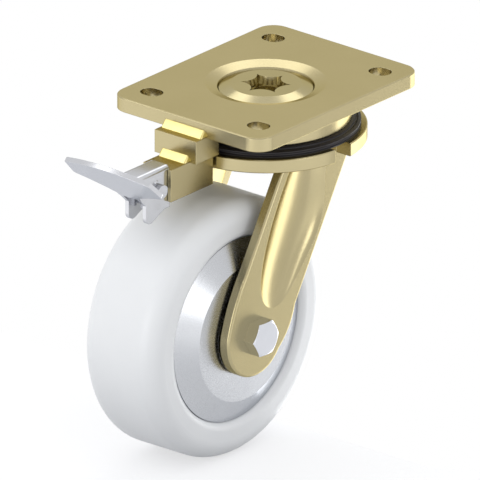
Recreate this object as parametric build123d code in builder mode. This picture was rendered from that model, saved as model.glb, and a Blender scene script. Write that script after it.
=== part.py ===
from build123d import *
from math import cos, radians, sin
import os

# Heavy duty swivel castor with a pedal lock, in millimetres.
# X runs along the axle, +Y points away from the pedal, +Z is up.
# The origin is the middle of the top plate's upper face, on the swivel axis.

os.makedirs("parts", exist_ok=True)

# Overall sizes
total_height = 200.0
wheel_headroom = 50.0
wheel_offset = 54.6
running_clearance = 0.3

# Top plate
plate_length = 140.0
plate_width = 110.0
plate_thickness = 8.2
plate_corner = 11.0
plate_edge = 0.5
bolt_spacing_length = 105.0
bolt_spacing_width = 77.5
slot_width = 11.0
slot_length = 13.5
dish_rim_radius = 34.0
dish_slope_width = 6.8
dish_slope_depth = 2.2
dish_depth = 4.2

# Kingpin
pin_head_radius = 26.4
pin_face_radius = 20.0
pin_face_depth = 0.8
pin_chamfer_depth = 2.4
star_outer_radius = 14.5
star_inner_radius = 9.4
star_points = 6
star_depth = 4.6
star_taper = 12
star_hole_radius = 7.2
star_hole_depth = 8.5
kingpin_neck_radius = 17.0
kingpin_radius = 14.0
kingpin_thread_radius = 10.0
nut_across_flats = 30.0
nut_height = 6.8
pin_end_length = 0.8

# Swivel head
race_radius = 48.0
race_height = 10.8
head_gap = 5.4
crown_radius = 56.5
crown_thickness = 7.9
crown_edge = 0.5
notch_width = 13.0
notch_root_radius = 45.6
notch_count = 4
seal_width = 8.4
seal_overhang = 5.0
seal_groove_radius = 0.9
seal_side_height = 3.1
seal_low_groove_rise = 1.6
seal_high_groove_drop = 1.0
upper_row_radius = 38.0
upper_ball_radius = 4.5
upper_ball_count = 16
lower_row_radius = 20.0
lower_ball_radius = 3.0
lower_ball_count = 12
lower_race_radius = 26.0
lower_race_height = 4.5
lower_gap = 3.6
ball_clearance = 0.12

# Fork legs
leg_span = 78.0
leg_thickness = 6.0
leg_end_radius = 24.2
leg_end_angle = 14
leg_toe_angle = 35
leg_top_back = 30.5
leg_top_front = 29.3
leg_knee_back = 8.8
leg_knee_rise = 37.3
leg_belly = 1.6
leg_ankle_front = 34.0
leg_ankle_rise = 8.4
leg_edge = 1.4
trough_depth = 6.0
trough_bulge = 4.0
trough_rim = 0.3
trough_reach = 3.0
trough_end_rise = 12.3
trough_end_front = 16.0
trough_top_back = 22.5
trough_top_front = 22.4

# Wheel
tyre_width = 53.2
tyre_thickness = 21.6
tread_shoulder = 10.5
tyre_inner_edge = 5.0
rim_width = 48.0
rim_wall = 3.2
disc_cone_width = 13.4
wheel_hub_width = 62.0
disc_wall = 3.0
hub_radius = 29.0
hub_shoulder_radius = 20.5
bearing_width = 14.0
bearing_bore_radius = 10.0
bearing_outer_radius = 23.5
bearing_row_radius = 16.75
bearing_ball_radius = 3.4
bearing_ball_count = 8
inner_ring_wall = 4.6
outer_ring_wall = 4.6
shield_thickness = 1.0
spacer_wall = 3.5

# Axle
axle_radius = 6.0
axle_hole_clearance = 0.1
bolt_head_flats = 19.0
bolt_head_height = 7.5
axle_washer_radius = 12.0
axle_washer_thickness = 2.0
axle_nut_height = 10.0
axle_end_length = 2.5

# Lock unit
block_width = 30.0
block_length = 20.0
block_overhang = 8.3
block_height = 13.4
housing_width = 20.0
housing_length = 36.3
housing_gap = 1.2
housing_height = 19.1
housing_wall = 2.3
floor_mouth = 6.8
plate_weld_size = 3.6
plate_weld_length = 29.0
housing_weld_size = 3.4
housing_weld_length = 19.2
weld_round = 1.0
weld_rise = 1.2
weld_swell = 0.57
pivot_reach = 7.5
pivot_drop = 32.0
pivot_radius = 2.5
pivot_head_radius = 4.0
pivot_head_height = 3.0
pivot_clip_radius = 4.5
pivot_clip_thickness = 1.2
pivot_running = 0.06
bracket_width = 9.5
bracket_wall = 1.7
bracket_cheek_length = 14.0
bracket_tongue_length = 34.0
bracket_tongue_reach = 4.5
bolt_body_length = 20.0
bolt_nose_length = 8.0
bolt_inset = 0.3
bolt_side_clearance = 0.2
bolt_nose_clearance = 0.4
tail_width = 5.7
tail_height = 9.2
tail_hook_length = 7.0
drive_arm = 9.5
drive_radius = 1.5
drive_play = 0.36

# Pedal
pedal_width = 14.9
pedal_wall = 2.4
pedal_bend = 3.2
pedal_top_rise = 12.4
pedal_entry = 2.0
lobe_length = 11.1
lobe_drop = 19.9
lobe_slope = 25
lobe_round = 4.0
foot_thickness = 2.8
foot_slope = 45
foot_start = 16.5
foot_start_drop = 0.6
foot_length = 27.9
foot_bow = 5.1
foot_tip_width = 61.0
foot_wing_width = 64.0
foot_wing_rise = 13.8
foot_wing_round = 2.5
foot_curve_width = 32.0
foot_curve_rise = 6.6
foot_waist_width = 16.4
foot_waist_rise = 1.5
foot_heel = 1.0
detent_lead = 2.2
detent_rise = 5.7
detent_radius = 1.3
detent_height = 0.45
detent_taper = 40

# Levels and places worked out from the sizes above
plate_bottom = -plate_thickness
race_bottom = plate_bottom - race_height
crown_top = race_bottom - head_gap
crown_bottom = crown_top - crown_thickness
lower_race_top = crown_bottom - lower_gap
lower_race_bottom = lower_race_top - lower_race_height
nut_bottom = lower_race_bottom - nut_height
pin_end = nut_bottom - pin_end_length
upper_ball_level = (race_bottom + crown_top) / 2
lower_ball_level = (crown_bottom + lower_race_top) / 2
wheel_diameter = total_height - wheel_headroom
rim_radius = wheel_diameter / 2 - tyre_thickness
disc_flat_radius = rim_radius - disc_cone_width
axle_y = -wheel_offset
axle_z = wheel_diameter / 2 - total_height
leg_face = leg_span / 2
leg_inner = leg_face - leg_thickness
plate_end = -plate_length / 2
block_outer = plate_end - block_overhang
block_inner = block_outer + block_length
housing_top = plate_bottom - block_height
housing_bottom = housing_top - housing_height
housing_inner = -crown_radius - housing_gap
housing_outer = housing_inner - housing_length
housing_bore = housing_width - 2 * housing_wall
bore_top = housing_top - housing_wall
bore_bottom = housing_bottom + housing_wall
pivot_y = housing_outer - pivot_reach
pivot_z = -pivot_drop
axle_axis = Axis((0, axle_y, axle_z), (1, 0, 0))
wheel_plane = Plane((0, axle_y, axle_z), x_dir=(1, 0, 0), z_dir=(0, -1, 0))


def save(piece, name):
    """Name the piece and write it to its own STEP file."""
    piece.part.label = name
    export_step(piece.part, "parts/" + name + ".step")


def side_plane(x):
    """A plane across the axle at x, with Y and Z as its two directions."""
    return Plane((x, 0, 0), x_dir=(0, 1, 0), z_dir=(1, 0, 0))


def ring_section(inner, outer, low, high):
    """The section of a turned ring on a plane whose X is the radius."""
    with Locations(((inner + outer) / 2, (low + high) / 2)):
        Rectangle(outer - inner, high - low)


def axle_ring_section(inner, outer, low, high):
    """The section of a ring round the axle, from low to high along it."""
    with Locations(((low + high) / 2, (inner + outer) / 2)):
        Rectangle(high - low, outer - inner)


# Top plate: pressed steel with four slots and a dish round the kingpin
with BuildPart() as top_plate:
    with BuildSketch():
        RectangleRounded(plate_width, plate_length, plate_corner)
        with GridLocations(bolt_spacing_width, bolt_spacing_length, 2, 2):
            SlotOverall(slot_length, slot_width, mode=Mode.SUBTRACT)
    extrude(amount=-plate_thickness)
    chamfer(top_plate.faces().sort_by(Axis.Z)[-1].outer_wire().edges(), length=plate_edge)
    with BuildSketch(Plane.XZ):
        with BuildLine():
            Polyline(
                (0, 0),
                (dish_rim_radius, 0),
                (dish_rim_radius - dish_slope_width, -dish_slope_depth),
                (pin_head_radius, -dish_depth),
                (kingpin_neck_radius, -dish_depth),
                (kingpin_neck_radius, plate_bottom),
                (0, plate_bottom),
                close=True,
            )
        make_face()
    revolve(axis=Axis.Z, mode=Mode.SUBTRACT)
save(top_plate, "top_plate")

# Kingpin: turned head formed into the dish, star recess, neck, shank and thread
with BuildPart() as kingpin:
    with BuildSketch(Plane.XZ):
        with BuildLine():
            Polyline(
                (0, -pin_face_depth),
                (pin_face_radius, -pin_face_depth),
                (pin_head_radius, -pin_face_depth - pin_chamfer_depth),
                (pin_head_radius, -dish_depth),
                (kingpin_neck_radius, -dish_depth),
                (kingpin_neck_radius, race_bottom),
                (kingpin_radius, race_bottom - head_gap / 2),
                (kingpin_radius, lower_race_bottom),
                (kingpin_thread_radius, lower_race_bottom),
                (kingpin_thread_radius, pin_end),
                (0, pin_end),
                close=True,
            )
        make_face()
    revolve(axis=Axis.Z)
    with BuildSketch(Plane.XY.offset(-pin_face_depth)):
        with BuildLine():
            for point in range(star_points):
                start = radians(90 + point * 360 / star_points)
                middle = radians(90 + (point + 0.5) * 360 / star_points)
                end = radians(90 + (point + 1) * 360 / star_points)
                ThreePointArc(
                    (star_outer_radius * cos(start), star_outer_radius * sin(start)),
                    (star_inner_radius * cos(middle), star_inner_radius * sin(middle)),
                    (star_outer_radius * cos(end), star_outer_radius * sin(end)),
                )
        make_face()
    extrude(amount=-star_depth, taper=star_taper, mode=Mode.SUBTRACT)
    with Locations((0, 0, -pin_face_depth)):
        Hole(star_hole_radius, depth=star_hole_depth)
save(kingpin, "kingpin")

# Upper race: turned ring under the plate with the groove of the upper ball row
with BuildPart() as upper_race:
    with BuildSketch(Plane.XZ):
        ring_section(kingpin_neck_radius, race_radius, race_bottom, plate_bottom)
        with Locations((upper_row_radius, upper_ball_level)):
            Circle(upper_ball_radius + ball_clearance, mode=Mode.SUBTRACT)
    revolve(axis=Axis.Z)
save(upper_race, "upper_race")

# Fork crown: thick disc with both ball grooves and the lock notches in its rim
with BuildPart() as fork_crown:
    with BuildSketch(Plane.XZ):
        ring_section(kingpin_radius + running_clearance, crown_radius, crown_bottom, crown_top)
        with Locations((upper_row_radius, upper_ball_level)):
            Circle(upper_ball_radius + ball_clearance, mode=Mode.SUBTRACT)
        with Locations((lower_row_radius, lower_ball_level)):
            Circle(lower_ball_radius + ball_clearance, mode=Mode.SUBTRACT)
    revolve(axis=Axis.Z)
    chamfer(fork_crown.edges().filter_by(GeomType.CIRCLE).group_by(SortBy.RADIUS)[-1], length=crown_edge)
    with BuildSketch(Plane.XY.offset(crown_top)):
        with PolarLocations(crown_radius, notch_count):
            Rectangle(2 * (crown_radius - notch_root_radius), notch_width)
    extrude(amount=-crown_thickness, mode=Mode.SUBTRACT)
save(fork_crown, "fork_crown")

# Lower race: turned cup that carries the lower ball row
with BuildPart() as lower_race:
    with BuildSketch(Plane.XZ):
        ring_section(kingpin_radius, lower_race_radius, lower_race_bottom, lower_race_top)
        with Locations((lower_row_radius, lower_ball_level)):
            Circle(lower_ball_radius + ball_clearance, mode=Mode.SUBTRACT)
    revolve(axis=Axis.Z)
save(lower_race, "lower_race")

# Kingpin nut: clamps the lower race on the shank
with BuildPart() as kingpin_nut:
    with BuildSketch(Plane.XY.offset(lower_race_bottom)):
        RegularPolygon(nut_across_flats / 2, 6, major_radius=False)
        Circle(kingpin_thread_radius, mode=Mode.SUBTRACT)
    extrude(amount=-nut_height)
save(kingpin_nut, "kingpin_nut")

# Two rows of steel balls
with BuildPart() as upper_balls:
    with Locations((0, 0, upper_ball_level)):
        with PolarLocations(upper_row_radius, upper_ball_count):
            Sphere(upper_ball_radius)
save(upper_balls, "upper_balls")

with BuildPart() as lower_balls:
    with Locations((0, 0, lower_ball_level)):
        with PolarLocations(lower_row_radius, lower_ball_count):
            Sphere(lower_ball_radius)
save(lower_balls, "lower_balls")

# Seal ring: black rubber lip with two grooves, seated on the crown
seal_inner = race_radius + seal_overhang - seal_width
seal_outer = race_radius + seal_overhang
seal_top = race_bottom - running_clearance
seal_middle = (seal_outer + race_radius) / 2
with BuildPart() as seal_ring:
    with BuildSketch(Plane.XZ):
        with BuildLine():
            Polyline(
                (seal_inner, crown_top),
                (seal_outer, crown_top),
                (seal_outer, crown_top + seal_side_height),
                (race_radius, seal_top),
                (seal_inner, seal_top),
                close=True,
            )
        make_face()
        with Locations(
            (seal_outer, crown_top + seal_low_groove_rise),
            (seal_middle, seal_top - seal_high_groove_drop),
        ):
            Circle(seal_groove_radius, mode=Mode.SUBTRACT)
    revolve(axis=Axis.Z)
save(seal_ring, "seal_ring")

# Fork legs: pressed plates with a trough that runs out above the axle
knee = (axle_y - leg_knee_back, axle_z + leg_knee_rise)
heel_angle = radians(leg_end_angle)
toe_angle = radians(leg_toe_angle)
heel = (axle_y - leg_end_radius * cos(heel_angle), axle_z + leg_end_radius * sin(heel_angle))
toe = (axle_y + leg_end_radius * cos(toe_angle), axle_z - leg_end_radius * sin(toe_angle))
ankle = (axle_y + leg_ankle_front, axle_z + leg_ankle_rise)
calf = ((knee[0] + heel[0]) / 2 - leg_belly, (knee[1] + heel[1]) / 2)
instep = ((toe[0] + ankle[0]) / 2 + leg_belly, (toe[1] + ankle[1]) / 2 - leg_belly)
trough_drop = crown_bottom - axle_z - trough_end_rise
trough_middle = (trough_top_front - trough_top_back) / 2
trough_lean = trough_middle - axle_y - trough_end_front
trough_width = trough_top_front + trough_top_back

# Each level of the trough, as shares of its drop, lean and width
trough_shares = (
    (0.0, 0.0, 1.0),
    (0.43, 0.52, 1.04),
    (0.7, 0.765, 0.93),
    (0.85, 0.915, 0.7),
    (0.94, 0.98, 0.48),
    (1.0, 1.0, 0.2),
)
trough_depths = [share * trough_depth for share in (1.0, 1.0, 0.82, 0.52, 0.28, 0.04)]
bulge_depths = [share * trough_bulge for share in (1.0, 0.95, 0.3, 0.1)]


def pressed_form(face, reach, depths):
    """Level sections of a pressed hollow, each a lens from face to its own depth."""
    sections = []
    for (drop, lean, width), depth in zip(trough_shares, depths):
        middle = trough_middle - lean * trough_lean
        half = width * trough_width / 2
        rim = face + trough_rim
        # A cubic curve reaches three quarters of the way to its control points
        control = face - depth / 0.75
        with BuildSketch(Plane.XY.offset(crown_bottom - drop * trough_drop)) as lens:
            with BuildLine():
                curve = Bezier(
                    (rim, middle - half),
                    (control, middle - half / 2),
                    (control, middle + half * 0.8),
                    (rim, middle + half),
                )
                Polyline(curve @ 1, (face + reach, middle + half), (face + reach, middle - half), curve @ 0)
            make_face()
        sections.append(lens.sketch)
    return sections


with BuildPart() as fork_leg_near:
    with BuildSketch(side_plane(leg_face)):
        with BuildLine():
            back_edge = Line((-leg_top_back, crown_bottom), knee)
            ThreePointArc(knee, calf, heel)
            Line(heel, (axle_y, axle_z))
            Line((axle_y, axle_z), toe)
            ThreePointArc(toe, instep, ankle)
            front_edge = Line(ankle, (leg_top_front, crown_bottom))
            Line(front_edge @ 1, back_edge @ 0)
        make_face()
        with Locations((axle_y, axle_z)):
            Circle(leg_end_radius)
    extrude(amount=-leg_thickness)
    outer_edges = fork_leg_near.faces().sort_by(Axis.X)[-1].edges()
    fillet(outer_edges.sort_by(Axis.Z)[:-1], radius=leg_edge)
    loft(sections=pressed_form(leg_inner, trough_reach / 2, bulge_depths))
    loft(sections=pressed_form(leg_face, trough_reach, trough_depths), mode=Mode.SUBTRACT)
    with BuildSketch(side_plane(leg_face)):
        with Locations((axle_y, axle_z)):
            Circle(axle_radius + axle_hole_clearance)
    extrude(amount=-leg_thickness, mode=Mode.SUBTRACT)
save(fork_leg_near, "fork_leg_near")

with BuildPart() as fork_leg_far:
    mirror(fork_leg_near.part, about=Plane.YZ)
save(fork_leg_far, "fork_leg_far")

# Wheel tyre: moulded white polyamide with round shoulders
with BuildPart() as wheel_tyre:
    with BuildSketch(wheel_plane):
        axle_ring_section(rim_radius, wheel_diameter / 2, -tyre_width / 2, tyre_width / 2)
        fillet(vertices().sort_by(Axis.Y)[-2:], radius=tread_shoulder)
        fillet(vertices().sort_by(Axis.Y)[:2], radius=tyre_inner_edge)
    revolve(axis=axle_axis)
save(wheel_tyre, "wheel_tyre")

# Wheel rim: rolled steel band whose ends carry on the cone of the discs
cone_slope = (wheel_hub_width - rim_width) / 2 / (rim_radius - disc_flat_radius)
rim_inner = rim_radius - rim_wall
rim_inner_half = rim_width / 2 + rim_wall * cone_slope
with BuildPart() as wheel_rim:
    with BuildSketch(wheel_plane):
        with BuildLine():
            Polyline(
                (-rim_inner_half, rim_inner),
                (rim_inner_half, rim_inner),
                (rim_width / 2, rim_radius),
                (-rim_width / 2, rim_radius),
                close=True,
            )
        make_face()
    revolve(axis=axle_axis)
save(wheel_rim, "wheel_rim")

# Wheel discs: pressed steel, flat round the hub and coned down to the rim
hub_half = wheel_hub_width / 2
with BuildPart() as wheel_disc_near:
    with BuildSketch(wheel_plane):
        with BuildLine():
            Polyline(
                (hub_half, hub_radius),
                (hub_half, disc_flat_radius),
                (rim_inner_half, rim_inner),
                (rim_inner_half - disc_wall, rim_inner),
                (hub_half - disc_wall, disc_flat_radius - disc_wall / 2),
                (hub_half - disc_wall, hub_radius),
                close=True,
            )
        make_face()
    revolve(axis=axle_axis)
save(wheel_disc_near, "wheel_disc_near")

with BuildPart() as wheel_disc_far:
    mirror(wheel_disc_near.part, about=Plane.YZ)
save(wheel_disc_far, "wheel_disc_far")

# Wheel hub: turned steel tube with a shoulder between the two bearings
bearing_inner_end = hub_half - bearing_width
with BuildPart() as wheel_hub:
    with BuildSketch(wheel_plane):
        axle_ring_section(bearing_outer_radius, hub_radius, -hub_half, hub_half)
        axle_ring_section(hub_shoulder_radius, bearing_outer_radius, -bearing_inner_end, bearing_inner_end)
    revolve(axis=axle_axis)
save(wheel_hub, "wheel_hub")

# Ball bearings: the same pair of rings, balls and shield at each end of the hub
bearing_middle = hub_half - bearing_width / 2
inner_ring_radius = bearing_bore_radius + inner_ring_wall
outer_ring_bore = bearing_outer_radius - outer_ring_wall
for side_name, side in (("near", 1), ("far", -1)):
    ends = sorted((side * bearing_inner_end, side * hub_half))
    with BuildPart() as inner_ring:
        with BuildSketch(wheel_plane):
            axle_ring_section(bearing_bore_radius, inner_ring_radius, *ends)
            with Locations((side * bearing_middle, bearing_row_radius)):
                Circle(bearing_ball_radius + ball_clearance, mode=Mode.SUBTRACT)
        revolve(axis=axle_axis)
    save(inner_ring, "bearing_inner_ring_" + side_name)
    with BuildPart() as outer_ring:
        with BuildSketch(wheel_plane):
            axle_ring_section(outer_ring_bore, bearing_outer_radius, *ends)
            with Locations((side * bearing_middle, bearing_row_radius)):
                Circle(bearing_ball_radius + ball_clearance, mode=Mode.SUBTRACT)
        revolve(axis=axle_axis)
    save(outer_ring, "bearing_outer_ring_" + side_name)
    with BuildPart() as shield:
        faces_x = sorted((side * (hub_half - shield_thickness), side * hub_half))
        with BuildSketch(wheel_plane):
            axle_ring_section(inner_ring_radius + running_clearance, outer_ring_bore, *faces_x)
        revolve(axis=axle_axis)
    save(shield, "bearing_shield_" + side_name)
    with BuildPart() as bearing_balls:
        ball_plane = Plane((side * bearing_middle, axle_y, axle_z), x_dir=(0, 1, 0), z_dir=(1, 0, 0))
        with Locations(ball_plane):
            with PolarLocations(bearing_row_radius, bearing_ball_count):
                Sphere(bearing_ball_radius)
    save(bearing_balls, "bearing_balls_" + side_name)

# Axle tube: steel tube clamped between the legs, it carries the inner rings
with BuildPart() as axle_tube:
    with BuildSketch(wheel_plane):
        axle_ring_section(axle_radius + axle_hole_clearance, bearing_bore_radius, -leg_inner, leg_inner)
    revolve(axis=axle_axis)
save(axle_tube, "axle_tube")

# Hub spacers: two rings that hold the wheel in the middle of the fork
with BuildPart() as hub_spacers:
    with BuildSketch(wheel_plane):
        axle_ring_section(bearing_bore_radius, bearing_bore_radius + spacer_wall, hub_half, leg_inner)
        axle_ring_section(bearing_bore_radius, bearing_bore_radius + spacer_wall, -leg_inner, -hub_half)
    revolve(axis=axle_axis)
save(hub_spacers, "hub_spacers")

# Axle bolt: hexagon head on the near leg, shank through the fork
nut_face = -leg_face - axle_washer_thickness
bolt_end = nut_face - axle_nut_height - axle_end_length
head_corner = bolt_head_flats / 2 / cos(radians(30))
head_face_radius = bolt_head_flats / 2
with BuildPart() as axle_bolt:
    with BuildSketch(Plane((leg_face, axle_y, axle_z), x_dir=(0, 1, 0), z_dir=(1, 0, 0))):
        RegularPolygon(bolt_head_flats / 2, 6, major_radius=False)
    extrude(amount=bolt_head_height)
    with BuildSketch(wheel_plane):
        with BuildLine():
            head_end = leg_face + bolt_head_height
            slope = (head_corner - head_face_radius) / 2
            Polyline(
                (leg_face, 0),
                (leg_face, head_corner),
                (head_end - slope, head_corner),
                (head_end, head_face_radius),
                (head_end, 0),
                close=True,
            )
        make_face()
    revolve(axis=axle_axis, mode=Mode.INTERSECT)
    with BuildSketch(wheel_plane):
        axle_ring_section(0, axle_radius, bolt_end, leg_face)
    revolve(axis=axle_axis)
save(axle_bolt, "axle_bolt")

with BuildPart() as axle_washer:
    with BuildSketch(wheel_plane):
        axle_ring_section(axle_radius, axle_washer_radius, nut_face, -leg_face)
    revolve(axis=axle_axis)
save(axle_washer, "axle_washer")

with BuildPart() as axle_nut:
    with BuildSketch(Plane((nut_face, axle_y, axle_z), x_dir=(0, 1, 0), z_dir=(1, 0, 0))):
        RegularPolygon(bolt_head_flats / 2, 6, major_radius=False)
        Circle(axle_radius, mode=Mode.SUBTRACT)
    extrude(amount=-axle_nut_height)
save(axle_nut, "axle_nut")

# Lock block: steel bar welded under the plate's pedal end
with BuildPart() as lock_block:
    with BuildSketch(Plane.XY.offset(plate_bottom)):
        with Locations((0, (block_outer + block_inner) / 2)):
            Rectangle(block_width, block_length)
    extrude(amount=-block_height)
save(lock_block, "lock_block")

# Lock housing: square guide tube, its floor cut back at the mouth for the pedal to
# swing and its roof notched round the saddle
pedal_half = pedal_width / 2
entry_y = housing_outer + pedal_entry
with BuildPart() as lock_housing:
    with BuildSketch(Plane.XZ.offset(-housing_inner)):
        with Locations((0, (housing_top + housing_bottom) / 2)):
            Rectangle(housing_width, housing_height)
            Rectangle(housing_bore, housing_height - 2 * housing_wall, mode=Mode.SUBTRACT)
    extrude(amount=housing_length)
    with BuildSketch(Plane.XY.offset(housing_top)):
        with Locations((0, housing_outer)):
            Rectangle(housing_bore, 2 * (pedal_entry + running_clearance))
    extrude(amount=-housing_height / 2, mode=Mode.SUBTRACT)
    with BuildSketch(Plane.XY.offset(housing_bottom)):
        with Locations((0, housing_outer)):
            Rectangle(housing_bore, 2 * floor_mouth)
    extrude(amount=housing_height / 2, mode=Mode.SUBTRACT)
save(lock_housing, "lock_housing")


def weld_bead(corner_y, corner_z, size, length):
    """A fillet weld on a level face against an upright one, its ends rounded."""
    with BuildSketch(Plane((0, corner_y, corner_z), x_dir=(0, 1, 0), z_dir=(1, 0, 0))) as bead:
        with BuildLine():
            crest = ThreePointArc((-size, 0), (-size * weld_swell, size * weld_swell), (0, size * weld_rise))
            Polyline(crest @ 1, (0, 0), crest @ 0)
        make_face()
    extrude(bead.sketch, amount=length / 2, both=True)


# Weld beads: one joins block and plate, the other housing and block
with BuildPart() as plate_weld:
    weld_bead(plate_end, plate_bottom, plate_weld_size, plate_weld_length)
    for end in (0, -1):
        end_face = plate_weld.faces().sort_by(Axis.X)[end]
        fillet(end_face.edges().filter_by(GeomType.CIRCLE), radius=weld_round)
save(plate_weld, "plate_weld")

with BuildPart() as housing_weld:
    weld_bead(block_outer, housing_top, housing_weld_size, housing_weld_length)
    for end in (0, -1):
        end_face = housing_weld.faces().sort_by(Axis.X)[end]
        fillet(end_face.edges().filter_by(GeomType.CIRCLE), radius=weld_round)
save(housing_weld, "housing_weld")

# Pivot bracket: small steel stirrup under the housing's roof, it holds the pivot pin
bracket_end_radius = drive_arm * cos(radians(foot_slope)) - drive_radius - running_clearance
cheek_inner_y = pivot_y + bracket_cheek_length
tongue_outer_y = pivot_y - bracket_tongue_reach
tongue_inner_y = tongue_outer_y + bracket_tongue_length
bracket_slot = bracket_width - 2 * bracket_wall
with BuildPart() as pivot_bracket:
    with BuildSketch(side_plane(bracket_width / 2)):
        with Locations(((tongue_outer_y + tongue_inner_y) / 2, bore_top - bracket_wall / 2)):
            Rectangle(bracket_tongue_length, bracket_wall)
        with Locations(((pivot_y + cheek_inner_y) / 2, (bore_top + pivot_z - bracket_end_radius) / 2)):
            Rectangle(cheek_inner_y - pivot_y, bore_top - pivot_z + bracket_end_radius)
        with Locations(((pivot_y + tongue_outer_y) / 2, (bore_top + pivot_z) / 2)):
            Rectangle(pivot_y - tongue_outer_y, bore_top - pivot_z)
        with Locations((pivot_y, pivot_z)):
            Circle(bracket_end_radius)
            Circle(pivot_radius, mode=Mode.SUBTRACT)
    extrude(amount=-bracket_width)
    with BuildSketch(Plane.XZ.offset(-cheek_inner_y)):
        with Locations((0, pivot_z)):
            Rectangle(bracket_slot, 2 * (bore_top - bracket_wall - pivot_z))
    extrude(amount=2 * bracket_cheek_length, mode=Mode.SUBTRACT)
save(pivot_bracket, "pivot_bracket")

# Pivot pin and the clip that keeps it in
with BuildPart() as pivot_pin:
    with BuildSketch(side_plane(pedal_half + bolt_side_clearance)):
        with Locations((pivot_y, pivot_z)):
            Circle(pivot_head_radius)
    extrude(amount=pivot_head_height)
    with BuildSketch(side_plane(pedal_half + bolt_side_clearance)):
        with Locations((pivot_y, pivot_z)):
            Circle(pivot_radius)
    extrude(amount=-pedal_width - 2 * bolt_side_clearance - pivot_clip_thickness)
save(pivot_pin, "pivot_pin")

with BuildPart() as pivot_clip:
    with BuildSketch(side_plane(-pedal_half - bolt_side_clearance)):
        with Locations((pivot_y, pivot_z)):
            Circle(pivot_clip_radius)
            Circle(pivot_radius, mode=Mode.SUBTRACT)
    extrude(amount=-pivot_clip_thickness)
save(pivot_clip, "pivot_clip")

# Lock bolt: sliding steel bar with a nose for the crown's notches and a hooked tail
nose_tip_y = housing_inner - bolt_inset
shoulder_y = nose_tip_y - bolt_nose_length
body_outer_y = shoulder_y - bolt_body_length
bolt_top = bore_top - bracket_wall - bolt_side_clearance
body_bottom = bore_bottom + bolt_side_clearance
nose_bottom = crown_bottom + bolt_nose_clearance
nose_width = notch_width - 2 * bolt_nose_clearance
tail_top = pivot_z - pivot_radius - running_clearance
tail_outer_y = pivot_y - tail_hook_length / 2
hook_inner_y = pivot_y + tail_hook_length / 2
drive_z = pivot_z - drive_arm
slot_top = pivot_z - drive_arm * cos(radians(foot_slope)) + drive_radius + running_clearance
with BuildPart() as lock_bolt:
    with BuildSketch(side_plane(0)):
        with Locations(((body_outer_y + shoulder_y) / 2, (bolt_top + body_bottom) / 2)):
            Rectangle(bolt_body_length, bolt_top - body_bottom)
    extrude(amount=housing_bore / 2 - bolt_side_clearance, both=True)
    with BuildSketch(side_plane(0)):
        with Locations(((shoulder_y + nose_tip_y) / 2, (bolt_top + nose_bottom) / 2)):
            Rectangle(bolt_nose_length, bolt_top - nose_bottom)
    extrude(amount=nose_width / 2, both=True)
    with BuildSketch(side_plane(0)):
        with Locations(((hook_inner_y + body_outer_y) / 2, (tail_top + body_bottom) / 2)):
            Rectangle(body_outer_y - hook_inner_y, tail_top - body_bottom)
        with Locations(((tail_outer_y + hook_inner_y) / 2, tail_top - tail_height / 2)):
            Rectangle(tail_hook_length, tail_height)
        with Locations((pivot_y, (slot_top + drive_z - drive_arm) / 2)):
            Rectangle(2 * (drive_radius + drive_play), slot_top - drive_z + drive_arm, mode=Mode.SUBTRACT)
    extrude(amount=tail_width / 2, both=True)
save(lock_bolt, "lock_bolt")

# Drive pin: short rod across the pedal's lobes, it moves the bolt's tail
with BuildPart() as drive_pin:
    with BuildSketch(side_plane(0)):
        with Locations((pivot_y, drive_z)):
            Circle(drive_radius)
    extrude(amount=pedal_half, both=True)
save(drive_pin, "drive_pin")

# Pedal: one pressed sheet, a saddle with two lobes and a fishtail foot plate
foot_angle = radians(foot_slope)
saddle_top = pivot_z + pedal_top_rise
saddle_bottom = pivot_z - pedal_top_rise
foot_y = pivot_y - foot_start
foot_z = pivot_z - foot_start_drop
foot_top_y = foot_y - (saddle_top - foot_z) / sin(foot_angle) * cos(foot_angle)
foot_plane = Plane(
    (0, foot_y, foot_z), x_dir=(1, 0, 0), z_dir=(0, -sin(foot_angle), -cos(foot_angle))
)
lobe_outer_y = pivot_y - lobe_length
lobe_bottom = pivot_z - lobe_drop
lobe_rise = (entry_y - lobe_outer_y) * sin(radians(lobe_slope)) / cos(radians(lobe_slope))
lobe_neck_z = foot_z - (lobe_outer_y - foot_y) * sin(foot_angle) / cos(foot_angle)
wing_half = foot_wing_width / 2
tip_half = foot_tip_width / 2
curve_half = foot_curve_width / 2
waist_half = foot_waist_width / 2
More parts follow.
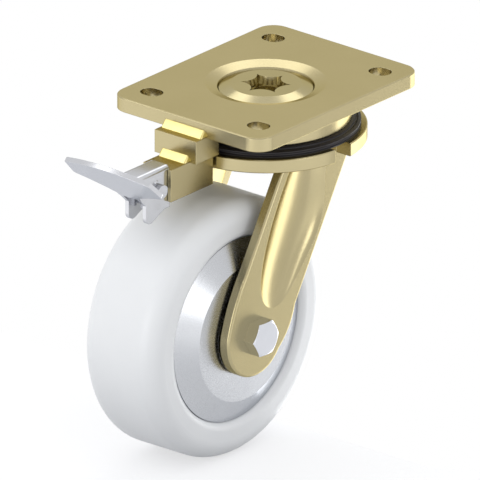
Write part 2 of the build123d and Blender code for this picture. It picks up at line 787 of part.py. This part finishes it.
with BuildPart() as pedal:
    with BuildSketch(Plane.XZ.offset(-entry_y)):
        with Locations((0, pivot_z)):
            Rectangle(pedal_width, 2 * pedal_top_rise)
        fillet(vertices().sort_by(Axis.Y)[-2:], radius=pedal_bend)
        with Locations((0, saddle_bottom - pedal_wall)):
            Rectangle(pedal_width - 2 * pedal_wall, 4 * pedal_top_rise, mode=Mode.SUBTRACT)
    extrude(amount=entry_y - foot_top_y)
    split(bisect_by=foot_plane, keep=Keep.BOTTOM)
    with BuildSketch(side_plane(pedal_half)) as lobe:
        with BuildLine():
            Polyline(
                (entry_y, pivot_z),
                (entry_y, lobe_bottom + lobe_rise),
                (lobe_outer_y, lobe_bottom),
                (lobe_outer_y, lobe_neck_z),
                (foot_y, foot_z),
                (foot_y, pivot_z),
                close=True,
            )
        make_face()
        fillet(vertices().sort_by(Axis.Y)[0], radius=lobe_round)
    extrude(amount=-pedal_wall)
    mirror(about=Plane.YZ)
    with BuildSketch(foot_plane):
        with BuildLine():
            tip = ThreePointArc(
                (-tip_half, foot_length), (0, foot_length + foot_bow), (tip_half, foot_length)
            )
            Line(tip @ 1, (wing_half, foot_wing_rise))
            ThreePointArc(
                (wing_half, foot_wing_rise), (curve_half, foot_curve_rise), (waist_half, foot_waist_rise)
            )
            Polyline(
                (waist_half, foot_waist_rise),
                (waist_half, -foot_heel),
                (-waist_half, -foot_heel),
                (-waist_half, foot_waist_rise),
            )
            ThreePointArc(
                (-waist_half, foot_waist_rise), (-curve_half, foot_curve_rise), (-wing_half, foot_wing_rise)
            )
            Line((-wing_half, foot_wing_rise), tip @ 0)
        make_face()
        corners = vertices().filter_by(lambda v: abs(v.Y - foot_wing_rise) < foot_wing_round)
        fillet(corners, radius=foot_wing_round)
    extrude(amount=-foot_thickness)
    with BuildSketch(side_plane(pedal_half)):
        with Locations((pivot_y, pivot_z)):
            Circle(pivot_radius + pivot_running)
        with Locations((pivot_y, drive_z)):
            Circle(drive_radius)
    extrude(amount=-pedal_width, mode=Mode.SUBTRACT)
    with BuildSketch(Plane((pedal_half, pivot_y - detent_lead, pivot_z + detent_rise), z_dir=(1, 0, 0))):
        Circle(detent_radius)
    extrude(amount=detent_height, taper=detent_taper)
save(pedal, "pedal")
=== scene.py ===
import math

import bpy
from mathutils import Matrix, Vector


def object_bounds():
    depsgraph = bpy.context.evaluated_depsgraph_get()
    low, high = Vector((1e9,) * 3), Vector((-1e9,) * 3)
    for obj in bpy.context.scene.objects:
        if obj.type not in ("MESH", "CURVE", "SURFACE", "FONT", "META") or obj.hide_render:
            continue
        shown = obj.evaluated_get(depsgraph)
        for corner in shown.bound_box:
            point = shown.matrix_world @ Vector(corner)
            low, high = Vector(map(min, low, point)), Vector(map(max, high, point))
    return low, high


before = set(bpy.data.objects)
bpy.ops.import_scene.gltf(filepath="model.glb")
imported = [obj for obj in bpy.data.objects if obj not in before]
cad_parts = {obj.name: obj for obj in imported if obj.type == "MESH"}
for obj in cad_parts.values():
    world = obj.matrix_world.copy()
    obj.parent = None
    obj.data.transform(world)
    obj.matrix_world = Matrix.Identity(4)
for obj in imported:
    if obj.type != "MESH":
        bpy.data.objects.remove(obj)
cad_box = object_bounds()

# Camera: the castor is seen from the axle bolt's side, a little from above, with
# parallel lines staying parallel, as in a catalogue picture.
camera_azimuth = math.radians(40.0)
camera_elevation = math.radians(22.0)
picture_width = 0.2666
picture_middle = Vector((0.01014, -0.03448, -0.08152))
camera_back = Vector((
    math.sin(camera_azimuth) * math.cos(camera_elevation),
    -math.cos(camera_azimuth) * math.cos(camera_elevation),
    math.sin(camera_elevation),
))
camera_data = bpy.data.cameras.new("camera")
camera_data.type = "ORTHO"
camera_data.ortho_scale = picture_width
camera = bpy.data.objects.new("camera", camera_data)
camera.location = picture_middle + camera_back
camera.rotation_mode = "QUATERNION"
camera.rotation_quaternion = (-camera_back).to_track_quat("-Z", "Y")
bpy.context.collection.objects.link(camera)
bpy.context.scene.camera = camera
bpy.context.scene.view_settings.view_transform = "Standard"


# Lamps: five soft boxes. The one above and behind lights the dish of the plate, and the
# low one behind shines past the floor's back edge on the fork leg.
def soft_box(name, place, aim, wide, high, power):
    """A rectangular area lamp that faces the point aim."""
    data = bpy.data.lights.new(name, "AREA")
    data.shape = "RECTANGLE"
    data.size = wide
    data.size_y = high
    data.energy = power
    lamp = bpy.data.objects.new(name, data)
    lamp.location = place
    lamp.rotation_mode = "QUATERNION"
    lamp.rotation_quaternion = (Vector(aim) - Vector(place)).to_track_quat("-Z", "Y")
    bpy.context.collection.objects.link(lamp)


plate_middle = (0.0, 0.0, 0.0)
castor_middle = (0.0, -0.04, -0.1)
near_axle = (0.0, -0.04, -0.12)
soft_box("top_lamp", (-0.38, 0.46, 0.74), plate_middle, wide=0.7, high=0.3, power=1.1)
soft_box("front_lamp", (-0.1, -1.0, 0.02), castor_middle, wide=0.5, high=0.5, power=1.7)
soft_box("left_lamp", (-0.6, -0.65, 0.6), castor_middle, wide=0.4, high=0.4, power=0.8)
soft_box("right_lamp", (0.95, -0.08, 0.06), castor_middle, wide=0.3, high=0.3, power=0.65)
soft_box("back_lamp", (0.1, 0.52, -0.34), near_axle, wide=0.5, high=0.5, power=1.9)


# Nodes: short ways to add and join them. The Mix node's sockets go by number, because
# their names repeat for each kind of data.
white = (1.0, 1.0, 1.0, 1.0)
mix_share = 0
mix_first_number = 2
mix_second_number = 3
mix_first_colour = 6
mix_second_colour = 7
mixed_number = 0
mixed_colour = 2


def add_node(tree, kind, settings=None, inputs=None):
    """Add a node with its settings, and give its inputs values or links."""
    made = tree.nodes.new(kind)
    for name, value in (settings or {}).items():
        setattr(made, name, value)
    for name, value in (inputs or {}).items():
        if isinstance(value, bpy.types.NodeSocket):
            tree.links.new(value, made.inputs[name])
        else:
            made.inputs[name].default_value = value
    return made


def work_out(tree, operation, first, second):
    """The output of a node that works out one number from two."""
    return add_node(tree, "ShaderNodeMath", {"operation": operation}, {
        0: first, 1: second,
    }).outputs["Value"]


def linear(colour):
    """An sRGB hex colour as the linear RGBA that nodes take."""
    shares = [int(colour[i:i + 2], 16) / 255 for i in (1, 3, 5)]
    red, green, blue = (
        s / 12.92 if s <= 0.04045 else ((s + 0.055) / 1.055) ** 2.4 for s in shares
    )
    return (red, green, blue, 1.0)


def mix_colours(tree, share, first, second):
    """The output of a node that goes from one hex colour to another by a share."""
    return add_node(tree, "ShaderNodeMix", {"data_type": "RGBA"}, {
        mix_share: share, mix_first_colour: linear(first), mix_second_colour: linear(second),
    }).outputs[mixed_colour]


def seen_rays(tree):
    """One for rays from the camera, mirrors and clear things, and zero for the rest."""
    ray = add_node(tree, "ShaderNodeLightPath")
    direct = work_out(
        tree, "MAXIMUM", ray.outputs["Is Camera Ray"], ray.outputs["Is Transmission Ray"])
    return work_out(tree, "MAXIMUM", direct, ray.outputs["Is Glossy Ray"])


# World: white to the camera, in mirrors and through clear things. On the rest it casts a
# plain soft light.
world_seen = 1.0
world_light = 0.85
world = bpy.data.worlds.new("studio")
world.use_nodes = True
world.node_tree.nodes.clear()
sky = world.node_tree
strength = add_node(sky, "ShaderNodeMix", {"data_type": "FLOAT"}, {
    mix_share: seen_rays(sky), mix_first_number: world_light, mix_second_number: world_seen,
})
backdrop = add_node(sky, "ShaderNodeBackground", inputs={
    "Color": white, "Strength": strength.outputs[mixed_number],
})
add_node(sky, "ShaderNodeOutputWorld", inputs={"Surface": backdrop.outputs["Background"]})
bpy.context.scene.world = world

# Floor: a matt studio table under the wheel, which ends behind the castor. It has painted shade:
# grey near the castor and pale further out, standing in for the shade round the castor that
# mirrors show. It is lifted towards white for the camera, in mirrors and through clear things,
# and keeps the shadow.
floor_lift = 0.6
floor_rough = 0.9
# Painted shade: the grey floor colour near the castor, which fades to the pale one further out.
floor_painted_shade = "#acadb0"
floor_far = "#e4e4e4"
fade_start = 0.24
fade_end = 0.55
floor_side = 2.5
floor_corner = 0.12
floor_right_back = 1.45
floor_gap = 0.0002
floor_level = cad_box[0].z - floor_gap
floor_data = bpy.data.meshes.new("floor")
floor_data.from_pydata([
    (-floor_side, -floor_side, floor_level), (floor_side, -floor_side, floor_level),
    (floor_side, floor_right_back, floor_level), (floor_corner, 0.0, floor_level),
    (-floor_side, 0.0, floor_level),
], [], [(0, 1, 2, 3, 4)])
floor = bpy.data.objects.new("floor", floor_data)
bpy.context.collection.objects.link(floor)
floor_material = bpy.data.materials.new("matt_studio_table")
floor_material.use_nodes = True
table = floor_material.node_tree
table_shader = table.nodes["Principled BSDF"]
table_shader.inputs["Roughness"].default_value = floor_rough
table_place = add_node(table, "ShaderNodeTexCoord").outputs["Object"]
table_reach = add_node(table, "ShaderNodeVectorMath", {"operation": "LENGTH"}, {
    "Vector": table_place,
})
shade_falloff = add_node(table, "ShaderNodeMapRange", {"interpolation_type": "SMOOTHSTEP"}, {
    "Value": table_reach.outputs["Value"], "From Min": fade_start, "From Max": fade_end,
})
# The painted shade: the floor's tint goes from the grey near the castor to the pale one further
# out.
painted_shade_tint = mix_colours(table, shade_falloff.outputs["Result"], floor_painted_shade, floor_far)
table.links.new(painted_shade_tint, table_shader.inputs["Base Color"])
table_lift = work_out(table, "MULTIPLY", seen_rays(table), floor_lift)
table_shader.inputs["Emission Color"].default_value = white
table.links.new(table_lift, table_shader.inputs["Emission Strength"])
floor_data.materials.append(floor_material)

# Finishes: each has a tint that drifts between two near colours and a fine grain, which
# varies the gloss and stands up a little. Lengths named mm are in millimetres.
mm_per_metre = 1000
cloud_detail = 3.0
cloud_rough = 0.5
grain_detail = 2.0
grain_rough = 0.6
grain_low = 0.3
grain_high = 0.7
gloss_swing = 0.1
bump_strength = 0.35
bevel_samples = 6


def new_material(name, metallic, ior=None):
    """An empty node material with its tree, its shader and its object coordinates."""
    material = bpy.data.materials.new(name)
    material.use_nodes = True
    tree = material.node_tree
    shader = tree.nodes["Principled BSDF"]
    shader.inputs["Metallic"].default_value = metallic
    if ior:
        shader.inputs["IOR"].default_value = ior
    place = add_node(tree, "ShaderNodeTexCoord")
    return material, tree, shader, place.outputs["Object"]


def cloudy_tint(tree, shader, place, light, dark, cloud_mm):
    """A base colour that drifts slowly between two near tints."""
    cloud = add_node(tree, "ShaderNodeTexNoise", inputs={
        "Vector": place, "Scale": mm_per_metre / cloud_mm,
        "Detail": cloud_detail, "Roughness": cloud_rough,
    })
    tint = mix_colours(tree, cloud.outputs[0], dark, light)
    tree.links.new(tint, shader.inputs["Base Color"])


def grained_surface(tree, shader, place, rough, grain_mm, height_mm, round_mm):
    """A fine grain that varies the gloss and stands up a little, and softened edges."""
    grain = add_node(tree, "ShaderNodeTexNoise", inputs={
        "Vector": place, "Scale": mm_per_metre / grain_mm,
        "Detail": grain_detail, "Roughness": grain_rough,
    })
    gloss = add_node(tree, "ShaderNodeMapRange", inputs={
        "Value": grain.outputs[0], "From Min": grain_low, "From Max": grain_high,
        "To Min": rough * (1 - gloss_swing), "To Max": rough * (1 + gloss_swing),
    })
    tree.links.new(gloss.outputs["Result"], shader.inputs["Roughness"])
    rounded = add_node(tree, "ShaderNodeBevel", {"samples": bevel_samples}, {
        "Radius": round_mm / mm_per_metre,
    })
    bump = add_node(tree, "ShaderNodeBump", inputs={
        "Height": grain.outputs[0], "Strength": bump_strength,
        "Distance": height_mm / mm_per_metre, "Normal": rounded.outputs[0],
    })
    tree.links.new(bump.outputs[0], shader.inputs["Normal"])


def plated_metal(name, light, dark, edge, rough, cloud_mm, grain_mm, height_mm, round_mm):
    """Plated or bare steel, with its own tint where it is seen edge on."""
    material, tree, shader, place = new_material(name, metallic=1.0)
    cloudy_tint(tree, shader, place, light, dark, cloud_mm)
    grained_surface(tree, shader, place, rough, grain_mm, height_mm, round_mm)
    shader.inputs["Specular Tint"].default_value = linear(edge)
    return material


def moulded(name, light, dark, rough, ior, cloud_mm, grain_mm, height_mm, round_mm):
    """A moulded plastic or rubber with a fine mould texture."""
    material, tree, shader, place = new_material(name, metallic=0.0, ior=ior)
    cloudy_tint(tree, shader, place, light, dark, cloud_mm)
    grained_surface(tree, shader, place, rough, grain_mm, height_mm, round_mm)
    return material


def dress(material, *nodes):
    """Give CAD nodes a finish in place of their plain one."""
    for node in nodes:
        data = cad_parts[node].data
        data.materials.clear()
        data.materials.append(material)


# Top plate: 8 mm steel plate, punched, with its dish pressed in. It is dipped after
# pressing in yellow passivated zinc, a dull straw gold with a faint cloudy tint.
yellow_zinc = plated_metal(
    "yellow_passivated_zinc", light="#b6ab87", dark="#aba07b", edge="#e0d8b8",
    rough=0.24, cloud_mm=45.0, grain_mm=0.9, height_mm=0.003, round_mm=0.5,
)
dress(yellow_zinc, "top_plate")

# Kingpin: a forged and turned steel pin with a flat head and a star recess. It is plated
# yellow like the plate but smoother.
pin_zinc = plated_metal(
    "turned_yellow_zinc", light="#b3a985", dark="#a99f7c", edge="#e0d8b8",
    rough=0.16, cloud_mm=30.0, grain_mm=0.6, height_mm=0.002, round_mm=0.05,
)
dress(pin_zinc, "kingpin")

# Swivel head: the races are turned steel rings and the crown is a pressed steel disc.
# They hold the two rows of balls and are plated with the plate.
dress(yellow_zinc, "upper_race", "lower_race", "fork_crown")

# Fork legs: pressed from 6 mm steel with a long trough, welded under the crown and
# plated with it.
dress(yellow_zinc, "fork_leg_near", "fork_leg_far")

# Lock block and housing: cut and bored steel, welded under the pedal end of the plate
# and plated with it.
dress(yellow_zinc, "lock_block", "lock_housing")

# Weld beads: laid by hand and plated with the rest. Their metal comes out paler and more
# yellow than the plate's.
weld_metal = plated_metal(
    "plated_weld_metal", light="#e6d794", dark="#dbcc86", edge="#f2e8c0",
    rough=0.3, cloud_mm=6.0, grain_mm=0.8, height_mm=0.006, round_mm=0.3,
)
dress(weld_metal, "plate_weld", "housing_weld")

# Pedal: bent steel sheet, barrel plated in bright zinc, which leaves it silver with a
# soft gloss. It turns on the pivot pin and moves the lock bolt by its drive pin.
bright_zinc = plated_metal(
    "bright_zinc_plate", light="#cbccd0", dark="#c1c2c6", edge="#e6e8ec",
    rough=0.2, cloud_mm=12.0, grain_mm=0.5, height_mm=0.002, round_mm=0.35,
)
dress(bright_zinc, "pedal", "drive_pin", "pivot_pin", "pivot_clip", "pivot_bracket", "lock_bolt")

# Small nuts and washers: turned and punched steel on the axle bolt and the kingpin, with
# the same plating as the pedal.
dress(bright_zinc, "axle_washer", "axle_nut", "kingpin_nut")

# Axle bolt: a cold headed steel hexagon in bright zinc. It is smoother than the pedal,
# and pale.
bolt_zinc = plated_metal(
    "headed_bolt_zinc", light="#dcdee4", dark="#d2d4da", edge="#f0f2f6",
    rough=0.1, cloud_mm=10.0, grain_mm=0.5, height_mm=0.001, round_mm=0.5,
)
dress(bolt_zinc, "axle_bolt")

# Wheel body: a rolled steel rim and two pressed steel discs round a turned hub, welded
# together and plated, with a satin face.
wheel_steel = plated_metal(
    "satin_wheel_steel", light="#c5c7cb", dark="#b9bbbf", edge="#e2e4e8",
    rough=0.26, cloud_mm=20.0, grain_mm=0.6, height_mm=0.002, round_mm=0.05,
)
dress(wheel_steel, "wheel_rim", "wheel_disc_near", "wheel_disc_far", "wheel_hub")

# Ball bearings, swivel balls, axle tube and hub spacers: ground steel, bright and smooth.
# They are all inside or between the larger pieces.
ground_steel = plated_metal(
    "ground_bearing_steel", light="#dadbdd", dark="#d2d3d5", edge="#f2f3f5",
    rough=0.15, cloud_mm=8.0, grain_mm=0.4, height_mm=0.001, round_mm=0.2,
)
for piece in ("inner_ring", "outer_ring", "shield", "balls"):
    dress(ground_steel, "bearing_" + piece + "_near", "bearing_" + piece + "_far")
dress(ground_steel, "upper_balls", "lower_balls", "axle_tube", "hub_spacers")

# Tyre: white polyamide, moulded round the rim, with the soft sheen and faint
# cloudiness of the melt.
white_polyamide = moulded(
    "white_polyamide", light="#ebedef", dark="#e4e6e9",
    rough=0.42, ior=1.53, cloud_mm=40.0, grain_mm=0.8, height_mm=0.01, round_mm=0.5,
)
dress(white_polyamide, "wheel_tyre")

# Seal ring: black moulded rubber, nearly matt, with a faint cool tint. It closes the
# gap between the upper race and the crown.
seal_rubber = moulded(
    "black_seal_rubber", light="#1c191f", dark="#141117",
    rough=0.5, ior=1.52, cloud_mm=15.0, grain_mm=0.6, height_mm=0.015, round_mm=0.2,
)
dress(seal_rubber, "seal_ring")
